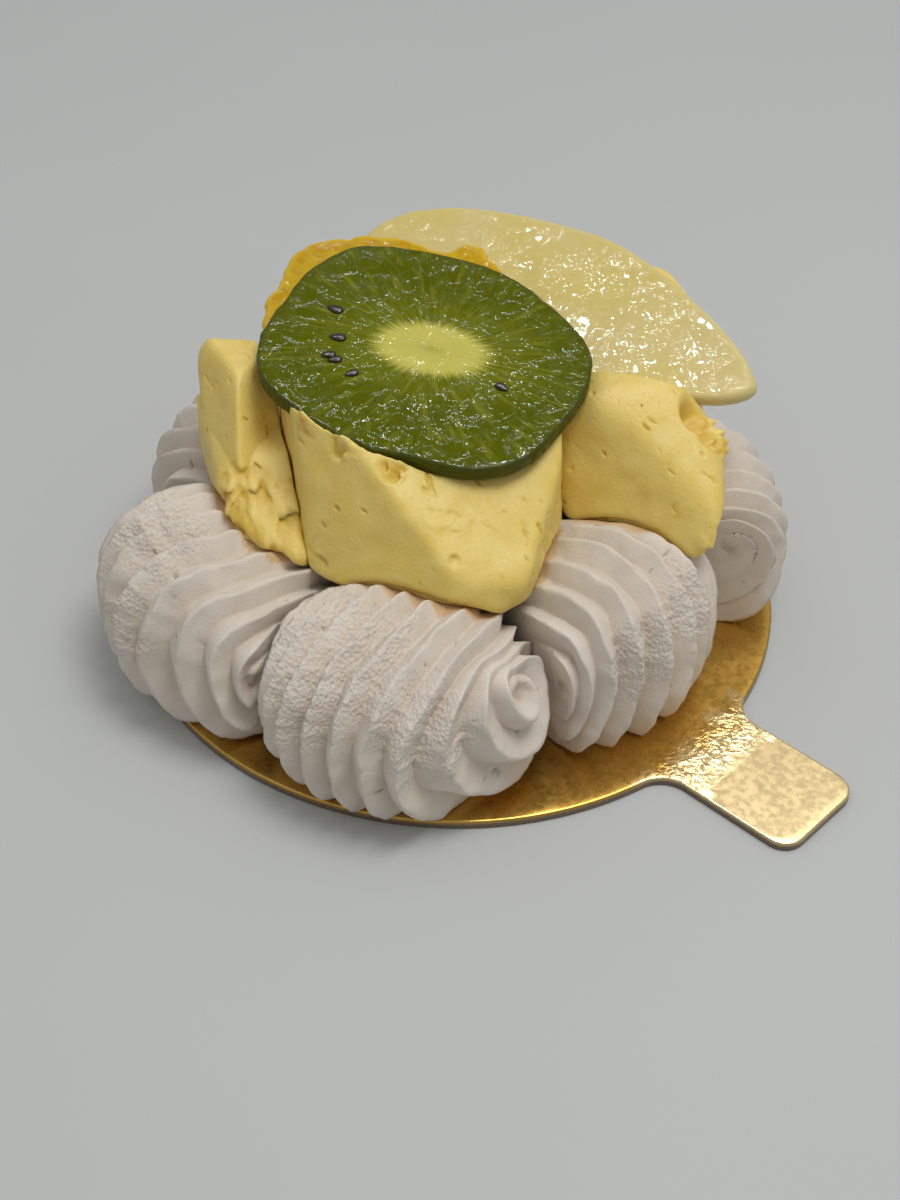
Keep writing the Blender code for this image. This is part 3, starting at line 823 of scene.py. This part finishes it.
def sink_poles(spec, bends, points, body, seed):
    """Points with a dimple sunk in at each pole, and how far in it each lies, 0 to 1, which also
    sets the painted shade there.
    """
    poles = np.array((POLE_START, 1 - POLE_START))
    ends, out, _ = petal_surface(spec, bends, poles, np.zeros(2))
    away = np.linalg.norm(points[:, None] - ends, axis=2)
    sink = smooth(away.min(axis=1) + 0.5 * noise(body, 1.2, seed + 5), POLE_REACH, 0.3)
    return points - out[away.argmin(axis=1)] * (POLE_DIMPLE * sink)[:, None], sink


def build_petal(name, spec, look, detail):
    """Piped petal: one ridge winds round the roll axis from pole to pole."""
    steps, across = detail
    bends = BENDS.get(name, NO_BEND)
    seed = 10 + list(PETALS).index(name)
    turn, phase, along = ridge_strip(spec, LOOSENESS.get(name, 0.0), steps, across)
    rough_place = petal_surface(spec, bends, along, turn)[0]
    wobble = 0.12 * noise(rough_place, 7.0, seed) + 0.08 * noise(rough_place, 2.5, seed + 1)
    fade = np.minimum(1.0, 4.0 * np.sin(np.pi * along))
    body, normal, stretch = petal_surface(spec, bends, along + wobble * fade / spec.ridges, turn)

    height = ridge_profile(phase)
    place = place_petal(spec, body)
    depth = ridge_depth(spec, place, body, stretch, height, seed) * fade
    crackle = crackle_share(name, place, body, seed + 4)
    lumps = 0.21 * noise(body, 0.9, seed + 6) + 0.09 * noise(body, 0.5, seed + 7)
    holes = smooth(noise(body, 1.0, seed + 9), 0.80, 0.93) * smooth(height, 0.6, -0.2)
    lift = depth * height + lumps * (0.15 + crackle) + 0.12 * noise(body, 2.2, seed + 8)
    points = body + normal * (lift - HOLE_DEPTH * holes)[:, None]
    points, sink = sink_poles(spec, bends, points, body, seed)
    points = press(name, place_petal(spec, points))
    # darker orange-brown tone within about half a millimetre of the cream
    near_cream_tint = smooth(cream_gap(points) + 0.4 * noise(points, 2.5, 71), 0.55, 0.0)

    faces = strip_faces(len(phase) // across, steps, across)
    piece = add_piece(name + "_piped", to_row(points), faces, look)
    add_attribute(piece, "crackle", crackle)
    # the ridge valleys and holes get painted shade, and the meringue next to the cream a darker
    # orange-brown tone
    add_attribute(piece, "valley_shade", smooth(height, 0.2, -1.0))
    add_attribute(piece, "hole_shade", np.maximum(holes, 0.6 * sink))
    add_attribute(piece, "near_cream_tint", near_cream_tint)
    close_poles(piece)
    hand_in(piece, "meringue", name)


# ---- cream


def cream_radius(name, blocks, direction):
    """Distance from a quenelle's centre to its surface, the furthest of its rounded blocks."""
    power = CREAM_POWERS.get(name, USUAL_POWER)
    radii = []
    for faces in blocks:
        azimuth, elevation, distance = np.array(faces, float).T
        a, e = np.radians(azimuth), np.radians(elevation)
        normal = np.stack((np.cos(e) * np.cos(a), np.cos(e) * np.sin(a), np.sin(e)))
        share = np.maximum(0.0, direction @ normal / distance)
        radii.append((share**power).sum(-1) ** (-1.0 / power))
    return np.maximum.reduce(radii)


def seam_faces(name, centre):
    """Faces of one quenelle towards the neighbours that it meets."""
    faces = []
    for first, second, azimuth, distance in CREAM_SEAMS:
        if name not in (first, second):
            continue
        angle = math.radians(azimuth)
        room = distance - centre[0] * math.cos(angle) - centre[1] * math.sin(angle)
        side = 1 if name == first else -1
        faces.append((azimuth if side > 0 else azimuth + 180, 0, side * room))
    return faces


def sphere(subdivisions):
    """Unit directions and triangles of an icosphere."""
    grid = bmesh.new()
    bmesh.ops.create_icosphere(grid, subdivisions=subdivisions, radius=1.0)
    grid.verts.index_update()
    directions = unit(np.array([vert.co for vert in grid.verts]))
    faces = [tuple(vert.index for vert in face.verts) for face in grid.faces]
    grid.free()
    return directions, faces


def keep_under(points, spec, outline, thickness):
    """Pushes points down that would stand in a slab, or too steeply beside it."""
    centre, *slopes = spec
    axes = slab_axes(*slopes)
    x, y, z = ((points - np.array(centre)) @ np.stack(axes, 1)).T
    rim_angle = np.arctan2(outline[:, 1], outline[:, 0])
    order = np.argsort(rim_angle)
    rim = np.linalg.norm(outline, axis=1)[order]
    reach = np.interp(np.arctan2(y, x), rim_angle[order], rim, period=2 * np.pi)
    outside = np.hypot(x, y) - reach
    limit = FRUIT_SINK - thickness + BESIDE_STEEPNESS * np.maximum(0.0, outside - FRUIT_SINK)
    return points - axes[2] * np.maximum(0.0, z - limit)[:, None]


def rest_on_petals(points, centre):
    """Rounds a quenelle's foot in where it meets the petals, and lifts what is lower on to them."""
    above = points[:, 2] - petal_height(points) - CREAM_LIFT
    depth = np.clip(FOOT_RADIUS - above, 0.0, FOOT_RADIUS)
    inset = FOOT_RADIUS - np.sqrt(FOOT_RADIUS**2 - depth**2)
    away = points[:, :2] - np.array(centre[:2])
    reach = np.linalg.norm(away, axis=1, keepdims=True)
    points = points.copy()
    points[:, :2] -= away / reach * np.minimum(inset[:, None], 0.5 * reach)
    floor = petal_height(points) + CREAM_LIFT - CREAM_SINK
    points[:, 2] = np.maximum(points[:, 2], floor)
    return points


def sculpt(name, place):
    """How crumbly each point of a quenelle is, 0 to 1, and how deep it is dented, mm."""
    crumbly, dent = np.zeros(len(place)), np.zeros(len(place))
    for *middle, radius in TORN.get(name, ()):
        crumbly = np.maximum(crumbly, smooth(reach_from(place, middle, radius), 1.1, 0.6))
    for *middle, radius, depth in DENTS.get(name, ()):
        dent += depth * smooth(reach_from(place, middle, radius), 1.0, 0.25)
    return crumbly, dent


def cream_relief(name, points, centre, seed):
    """How far a quenelle's skin is raised at each point, and how much painted shade its hollows get
    there.
    """
    waves = 0.30 * noise(points, 6.0, seed) + 0.12 * noise(points, 2.2, seed + 1)
    torn = smooth(noise(points, 7.0, seed + 2), 0.25, 0.8)
    rough = grain(points, 1.6, seed + 3)
    stroke = unit(np.array(STROKE))
    drawn = points - STROKE_SHARE * (points @ stroke)[:, None] * stroke
    pits = smooth(noise(drawn, 0.75, seed + 4), 0.60, 0.88)
    pits *= smooth(noise(points, 5.0, seed + 5), -0.6, 0.2)
    crumbly, dent = sculpt(name, points + centre)
    crumbs = 1.4 * noise(points, 2.0, seed + 6) + 0.9 * noise(points, 0.9, seed + 7)
    lift = waves + 0.30 * torn * rough - 0.40 * pits + crumbly * crumbs - dent
    hollow_shade = pits + 0.5 * torn * smooth(-rough, 0.0, 0.8) + crumbly * smooth(crumbs, 0.3, -0.6)
    return lift, np.clip(hollow_shade + smooth(dent, 0.4, 1.2), 0, 1)


def build_cream(name, spec, look, subdivisions):
    """Spooned quenelle: a rounded block with soft waves, pits and torn edges."""
    centre, *blocks = spec
    seams = seam_faces(name, centre)
    directions, faces = sphere(subdivisions)
    radius = cream_radius(name, [(*block, *seams) for block in blocks], directions)
    points = directions * radius[:, None]
    seed = 40 + 10 * list(CREAM).index(name)
    lift, hollow_shade = cream_relief(name, points, centre, seed)
    points = rest_on_petals(points + directions * lift[:, None] + centre, centre)
    for fruit, outline, thickness in FRUIT_ABOVE:
        points = keep_under(points, fruit, outline, thickness)
    piece = add_piece(name + "_spooned", to_row(points), faces, look)
    # painted shade in the cream's hollows
    add_attribute(piece, "hollow_shade", hollow_shade)
    hand_in(piece, "mango_cream", name)


# ---- fruit


def angles_round(count):
    """Angles evenly round a circle."""
    return np.arange(count) * 2 * np.pi / count


def kiwi_outline(count):
    """Round outline with a few low lobes and small nicks."""
    angle = angles_round(count)
    radius = np.full(count, KIWI_RADIUS)
    for waves, height, azimuth in KIWI_LOBES:
        radius += height * np.cos(waves * (angle - math.radians(azimuth)))
    radius -= KIWI_FRONT * np.maximum(0.0, -np.sin(angle)) ** 2
    circle = np.column_stack((np.cos(angle), np.sin(angle), np.zeros(count)))
    left = smooth(-np.cos(angle), -0.2, 0.8)
    nicks = noise(circle * KIWI_RADIUS, 3.0, 7) + 0.5 * noise(circle * KIWI_RADIUS, 1.4, 8)
    radius += (0.12 + 0.22 * left) * nicks
    return circle[:, :2] * radius[:, None]


def slice_outline(count):
    """Long half-round outline, straighter over the tab's side."""
    angle = angles_round(count)
    outer, inner = SLICE_HALF_WIDTHS
    c, s = np.cos(angle), np.sin(angle)
    power = np.where(s > 0, 2 - SLICE_STRAIGHTNESS * smooth(c, -0.9, 0.5), 2.0)
    swell = (np.abs(c) ** power + np.abs(s) ** power) ** (-1 / power)
    width = np.where(s > 0, outer, inner)
    flat = np.column_stack((c * swell * SLICE_HALF_LENGTH, s * swell * width))
    return spin(flat, "Z", SLICE_AZIMUTH)


def mango_outline(count):
    """Torn outline, wavy between its corner points."""
    corners = np.array(MANGO_OUTLINE)[::-1]
    corners = np.vstack((corners, corners[:1]))
    length = np.concatenate(([0], np.cumsum(np.linalg.norm(np.diff(corners, axis=0), axis=1))))
    spots = np.arange(count) * length[-1] / count
    flat = np.column_stack([np.interp(spots, length, corners[:, i]) for i in (0, 1)])
    for _ in range(8):
        flat = (np.roll(flat, 1, axis=0) + 2 * flat + np.roll(flat, -1, axis=0)) / 4
    solid = np.column_stack((flat, np.zeros(count)))
    ripple = 0.45 * noise(solid, 2.2, 3) + 0.2 * noise(solid, 1.0, 4)
    return flat * (1 + (ripple - 0.2) / np.linalg.norm(flat, axis=1))[:, None]


# what the cream is kept under: frame, outline and thickness
FRUIT_ABOVE = (
    (KIWI_FRAME, kiwi_outline(180), KIWI_THICKNESS),
    (SLICE_FRAME, slice_outline(180), SLICE_THICKNESS),
    (MANGO_FRAME, mango_outline(180), MANGO_THICKNESS),
)

# The edge is pairs of inset and height. The waves, and those that shift the piece sideways, are
# height, size and seed. sink lowers the whole relief.
Slab = namedtuple(
    "Slab", "name node slot frame outline top_rows edge rim_width waves side_waves sink"
)
MANGO = Slab(
    "mango_torn", "mango_piece", "mango", MANGO_FRAME, mango_outline(360), 24,
    ((1.3, -0.2), (0.7, 0.0), (0.3, -0.25), (0.1, -0.8), (0.25, -2.0), (0.1, -4.0), (0.6, -6.5),
     (1.5, -8.0)),
    1.5, ((0.35, 3.5, 41), (0.14, 1.4, 42)), ((0.3, 2.0, 43),), 0.3,
)
SLICE = Slab(
    "pale_slice_cut", "pale_slice", "pale_fruit", SLICE_FRAME, slice_outline(400), 40,
    ((1.1, 0.0), (0.55, -0.12), (0.15, -0.5), (0.0, -1.1), (0.1, -1.7), (0.5, -2.15), (1.2, -2.3)),
    1.6, ((0.22, 8.0, 31), (0.05, 2.0, 32)), (), 0.1,
)
KIWI = Slab(
    "kiwi_slice_cut", "kiwi_slice", "kiwi", KIWI_FRAME, kiwi_outline(400), 50,
    ((0.45, 0.0), (0.2, -0.06), (0.05, -0.25), (0.0, -0.55), (0.12, -1.2), (0.05, -1.9),
     (0.15, -2.3), (0.5, -2.6)),
    1.1, ((0.16, 5.0, 21), (0.05, 1.6, 22)), (), 0.1,
)


def rim_share(rows, outline, width):
    """1 at the rim of a slab and 0 further in than width, for every point."""
    reach = np.linalg.norm(outline, axis=1)
    shares = [np.zeros(1)]
    for row in rows[1:-1]:
        inside = reach - np.hypot(row[:, 0], row[:, 1])
        shares.append(smooth(inside, width, 0.0))
    shares.append(np.zeros(1))
    return np.concatenate(shares)


def ripple(points, waves):
    """Sum of noises, or zeros where there are none."""
    start = np.zeros(len(points))
    return sum((height * noise(points, size, seed) for height, size, seed in waves), start)


def build_slab(slab, look):
    """Slab of fruit whose relief also moves its edge."""
    rows = outline_rows(slab.outline, slab.edge, slab.top_rows)
    points, faces = rings_mesh(rows)
    shift = ripple(points, slab.side_waves)
    points = points + np.column_stack((shift, shift, ripple(points, slab.waves) - slab.sink))
    piece = add_piece(slab.name, points, faces, look, slab_matrix(slab.frame))
    add_attribute(piece, "rim", rim_share(rows, slab.outline, slab.rim_width))
    hand_in(piece, slab.slot, slab.node)


def build_seeds(look):
    """Flat teardrop seeds, sunk in the kiwi's cut face and pointing at its core."""
    directions, faces = sphere(SEED_FINENESS)
    all_points, all_faces = [], []
    for i, (x, y) in enumerate(KIWI_SEEDS):
        heading = math.degrees(math.atan2(y - KIWI_CORE[1], x - KIWI_CORE[0]))
        taper = 1 - 0.35 * directions[:, :1]
        seed = directions * SEED_SIZE * np.hstack((np.ones_like(taper), taper, taper))
        seed = spin(seed * (0.85 + 0.2 * noise(np.array([[i, 3.3, 0.5]]), 1.0, 5)), "Z", heading)
        all_faces += [tuple(v + len(directions) * i for v in face) for face in faces]
        all_points.append(seed + (x, y, 0.02))
    points = np.concatenate(all_points)
    piece = add_piece("kiwi_seeds", points, all_faces, look, slab_matrix(KIWI_FRAME))
    hand_in(piece, "kiwi")


# ---- card


def arc(centre, radius, start, stop, steps):
    """Points of an arc without its last one."""
    angle = start + (stop - start) * np.arange(steps) / steps
    return np.array(centre) + radius * np.column_stack((np.cos(angle), np.sin(angle)))


def line(start, stop, steps):
    """Points of a line without its last one."""
    share = np.arange(steps)[:, None] / steps
    return np.array(start) + (np.array(stop) - np.array(start)) * share


def card_outline():
    """Disc with a rounded tab along +X."""
    half, across = TAB_HALF_WIDTH, TAB_HALF_WIDTH + TAB_FILLET
    along = math.sqrt((CARD_RADIUS + TAB_FILLET) ** 2 - across**2)
    join = math.atan2(across, along)
    end, side = TAB_REACH - TAB_CORNER, half - TAB_CORNER
    right = math.pi / 2
    return np.concatenate((
        arc((0, 0), CARD_RADIUS, join, 4 * right - join, 300),
        arc((along, -across), TAB_FILLET, 2 * right - join, right, 16),
        line((along, -half), (end, -half), 24),
        arc((end, -side), TAB_CORNER, -right, 0, 12),
        line((TAB_REACH, -side), (TAB_REACH, side), 12),
        arc((end, side), TAB_CORNER, 0, right, 12),
        line((end, half), (along, half), 24),
        arc((along, across), TAB_FILLET, -right, join - 2 * right, 16),
    ))


def build_card(look):
    """Foil-faced board with a rolled top edge, a cut side, creases and a tab made paler by a painted
    reflection.
    """
    top = CARD_THICKNESS
    edge = ((0.35, top), (0.18, top - 0.03), (0.06, top - 0.12), (0.0, top - 0.3), (0.02, 0.7),
            (0.0, 0.2), (0.1, 0.0))
    rows = outline_rows(card_outline(), edge, 48)
    rows[0] = np.array((0.0, 0.0, top))
    points, faces = rings_mesh(rows)
    x, y, z = points.T
    root = smooth(np.abs(x - CREASE_X), 5.0, 1.0) * smooth(np.abs(y), 15.0, 6.0)
    dent = CREASE_DEPTH * noise(points, 3.0, 51) * root * (z > 1.0)
    lift = np.column_stack((0 * dent, 0 * dent, dent - np.abs(dent) * 0.5))
    piece = add_piece("card_foil", points + lift, faces, look)
    add_attribute(piece, "cut_edge", smooth(z, top - 0.18, top - 0.42))
    add_attribute(piece, "crease", root)
    # painted reflection: the foil turns paler towards the tab
    add_attribute(piece, "wear_and_sheen", smooth(x + 3.0 * grain(points, 2.5, 52), *TAB_SHEEN_X))
    hand_in(piece, "gold_card", "card")


# ---- light and camera


def add_area(name, place, size, power, colour=(1.0, 1.0, 1.0)):
    """Square area light that shines at the cake, placed in serving millimetres."""
    data = bpy.data.lights.new(name, "AREA")
    data.size = size * MM
    data.energy = power
    data.color = colour
    lamp = add_object(name, data)
    place = Vector(place) * MM
    turn = (Vector((0, 0, 0.02)) - place).to_track_quat("-Z", "Y").to_matrix().to_4x4()
    lamp.matrix_world = SERVING_TURN @ Matrix.Translation(place) @ turn
    return lamp


def sky_level(sky):
    """Strength of the sky: brighter overhead, but dim in a stretch that the wet fruit mirrors."""
    ray = sky.add("TexCoord").outputs["Generated"]
    height = sky.add("SeparateXYZ", ray).outputs["Z"]
    bright = sky.step(height, *SKY_SPAN, SKY_LOW, SKY_TOP)
    spot = spin(spin(np.array((1.0, 0.0, 0.0)), "Y", -DIM_ELEVATION), "Z", DIM_AZIMUTH)
    toward = sky.vector("DOT_PRODUCT", ray, SERVING_TURN.to_3x3() @ Vector(spot))
    inner, outer = (math.cos(math.radians(reach)) for reach in DIM_REACH)
    return sky.maths("MULTIPLY", bright, sky.step(toward, outer, inner, 1.0, DIM_SHARE))


def build_light():
    """Even soft light from all round, a soft key above, and rows of small lamps for glints."""
    world = bpy.data.worlds.new("studio")
    world.use_nodes = True
    sky = Wiring(world.node_tree)
    back = sky.tree.nodes["Background"]
    sky.fill(back, Color=(1.0, 0.99, 0.97), Strength=sky_level(sky))
    bpy.context.scene.world = world
    add_area("key", KEY_PLACE, KEY_SIZE, KEY_POWER, (1.0, 0.98, 0.95))
    for row, (y, z) in enumerate(LAMP_ROWS):
        for i in range(LAMP_COUNT):
            x = LAMP_GAP * (i + 0.5 - LAMP_COUNT / 2)
            lamp = add_area(f"lamp_{row}_{i}", (x, y, z), LAMP_SIZE, LAMP_POWER)
            lamp.visible_diffuse = False


def build_floor(look):
    """Level floor under the card."""
    reach = FLOOR_REACH
    corners = [(-reach, -reach, 0), (reach, -reach, 0), (reach, reach, 0), (-reach, reach, 0)]
    add_piece("floor", corners, [(0, 1, 2, 3)], look)


def build_camera():
    """Camera in front of the cake and above it, as the photo's was."""
    data = bpy.data.cameras.new("camera")
    data.lens = CAMERA_LENS
    data.clip_start = 0.01
    camera = add_object("camera", data)
    tilt = Matrix.Rotation(math.radians(90 - CAMERA_DOWN), 4, "X")
    roll = Matrix.Rotation(math.radians(CAMERA_ROLL), 4, "Z")
    place = Matrix.Translation(Vector(CAMERA_PLACE) * MM)
    camera.matrix_world = SERVING_TURN @ place @ tilt @ roll
    bpy.context.scene.camera = camera


def main():
    """Builds the stage and every piece."""
    bpy.context.scene.view_settings.view_transform = "Standard"
    build_camera()
    build_light()
    build_floor(floor_look())
    build_card(card_look())
    meringue = meringue_look()
    for name, spec in PETALS.items():
        build_petal(name, spec, meringue, COARSE if name in COARSE_PETALS else FINE)
    cream = cream_look()
    for name, spec in CREAM.items():
        build_cream(name, spec, cream, CREAM_COARSE if "back" in name else CREAM_FINE)
    build_slab(MANGO, mango_look())
    build_slab(SLICE, slice_look())
    build_slab(KIWI, kiwi_look())
    build_seeds(seed_look())


main()
